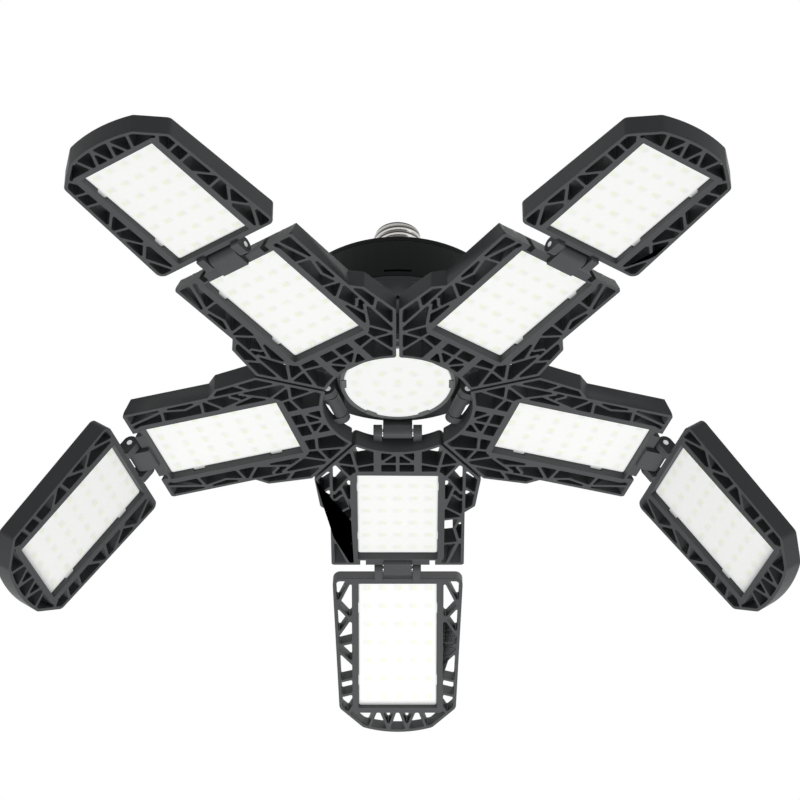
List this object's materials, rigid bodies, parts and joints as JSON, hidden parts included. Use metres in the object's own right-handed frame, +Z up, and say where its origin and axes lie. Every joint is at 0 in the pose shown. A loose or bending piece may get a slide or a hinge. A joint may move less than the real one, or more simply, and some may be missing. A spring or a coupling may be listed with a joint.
{
  "type": "folding multi-panel ceiling lamp",
  "caption": "Screw-in ceiling lamp: a round driver housing and middle light, ringed by hinged lattice-framed light panels, each carrying a second folding panel.",
  "frame": {"origin": "on the lamp's axis, in the middle of the plain band at the foot of the screw shell", "axes": "+Z up along the screw base, towards the lamp holder; +Y towards the front arm; the light faces point down"},
  "size_m": [0.4156, 0.4367, 0.1971],
  "materials": {
    "frame_plastic": "moulded, fine matt grain",
    "housing_plastic": "moulded, satin",
    "cover_plate": "frosted clear plastic, lit from behind",
    "light_board": "white solder mask",
    "bare_aluminium": "cast, matt",
    "circuit_board": "solder mask",
    "component": "moulded",
    "steel": "zinc plated",
    "shell_plating": "bright nickel plate",
    "insulator": "glossy black insulator",
    "contact_metal": "tinned brass"
  },
  "bodies": {
    "root": {"hub_frame": "housing_plastic", "core_bezel": "frame_plastic", "core_cover": "cover_plate", "core_board": "light_board", "heat_sink": "bare_aluminium", "driver_housing": "housing_plastic", "housing_cap": "housing_plastic", "driver_board": "circuit_board", "driver_components": "component", "driver_screws": "steel", "screw_shell": "shell_plating", "base_insulator": "insulator", "end_contact": "contact_metal"},
    "wing_left_rear": {"wing_frame_left_rear": "frame_plastic", "wing_board_left_rear": "light_board", "wing_cover_left_rear": "cover_plate", "hub_hinge_pin_left_rear": "steel", "fold_hinge_pin_left_rear": "steel"},
    "tip_left_rear": {"tip_frame_left_rear": "frame_plastic", "tip_board_left_rear": "light_board", "tip_cover_left_rear": "cover_plate"},
    "wing_left": {"wing_frame_left": "frame_plastic", "wing_board_left": "light_board", "wing_cover_left": "cover_plate", "hub_hinge_pin_left": "steel", "fold_hinge_pin_left": "steel"},
    "tip_left": {"tip_frame_left": "frame_plastic", "tip_board_left": "light_board", "tip_cover_left": "cover_plate"},
    "wing_front": {"wing_frame_front": "frame_plastic", "wing_board_front": "light_board", "wing_cover_front": "cover_plate", "hub_hinge_pin_front": "steel", "fold_hinge_pin_front": "steel"},
    "tip_front": {"tip_frame_front": "frame_plastic", "tip_board_front": "light_board", "tip_cover_front": "cover_plate"},
    "wing_right": {"wing_frame_right": "frame_plastic", "wing_board_right": "light_board", "wing_cover_right": "cover_plate", "hub_hinge_pin_right": "steel", "fold_hinge_pin_right": "steel"},
    "tip_right": {"tip_frame_right": "frame_plastic", "tip_board_right": "light_board", "tip_cover_right": "cover_plate"},
    "wing_right_rear": {"wing_frame_right_rear": "frame_plastic", "wing_board_right_rear": "light_board", "wing_cover_right_rear": "cover_plate", "hub_hinge_pin_right_rear": "steel", "fold_hinge_pin_right_rear": "steel"},
    "tip_right_rear": {"tip_frame_right_rear": "frame_plastic", "tip_board_right_rear": "light_board", "tip_cover_right_rear": "cover_plate"}
  },
  "joints": [
    {"name": "hub_hinge_left_rear", "type": "hinge", "parent": "root", "child": "wing_left_rear", "pos_m": [-0.01987, -0.02735, -0.085], "axis": [0.809, -0.5878, 0], "range_deg": [-15, 4]},
    {"name": "fold_hinge_left_rear", "type": "hinge", "parent": "wing_left_rear", "child": "tip_left_rear", "pos_m": [-0.08452, -0.11634, -0.0935], "axis": [0.809, -0.5878, 0], "range_deg": [0, 90]},
    {"name": "hub_hinge_left", "type": "hinge", "parent": "root", "child": "wing_left", "pos_m": [-0.03215, 0.01044, -0.085], "axis": [-0.309, -0.9511, 0], "range_deg": [-15, 4]},
    {"name": "fold_hinge_left", "type": "hinge", "parent": "wing_left", "child": "tip_left", "pos_m": [-0.13676, 0.04444, -0.0935], "axis": [-0.309, -0.9511, 0], "range_deg": [-50, 40]},
    {"name": "hub_hinge_front", "type": "hinge", "parent": "root", "child": "wing_front", "pos_m": [0, 0.0338, -0.085], "axis": [-1, 0, 0], "range_deg": [-15, 4]},
    {"name": "fold_hinge_front", "type": "hinge", "parent": "wing_front", "child": "tip_front", "pos_m": [0, 0.1438, -0.0935], "axis": [-1, 0, 0], "range_deg": [-32, 58]},
    {"name": "hub_hinge_right", "type": "hinge", "parent": "root", "child": "wing_right", "pos_m": [0.03215, 0.01044, -0.085], "axis": [-0.309, 0.9511, 0], "range_deg": [-15, 4]},
    {"name": "fold_hinge_right", "type": "hinge", "parent": "wing_right", "child": "tip_right", "pos_m": [0.13676, 0.04444, -0.0935], "axis": [-0.309, 0.9511, 0], "range_deg": [-50, 40]},
    {"name": "hub_hinge_right_rear", "type": "hinge", "parent": "root", "child": "wing_right_rear", "pos_m": [0.01987, -0.02735, -0.085], "axis": [0.809, 0.5878, 0], "range_deg": [-15, 4]},
    {"name": "fold_hinge_right_rear", "type": "hinge", "parent": "wing_right_rear", "child": "tip_right_rear", "pos_m": [0.08452, -0.11634, -0.0935], "axis": [0.809, 0.5878, 0], "range_deg": [0, 90]}
  ]
}
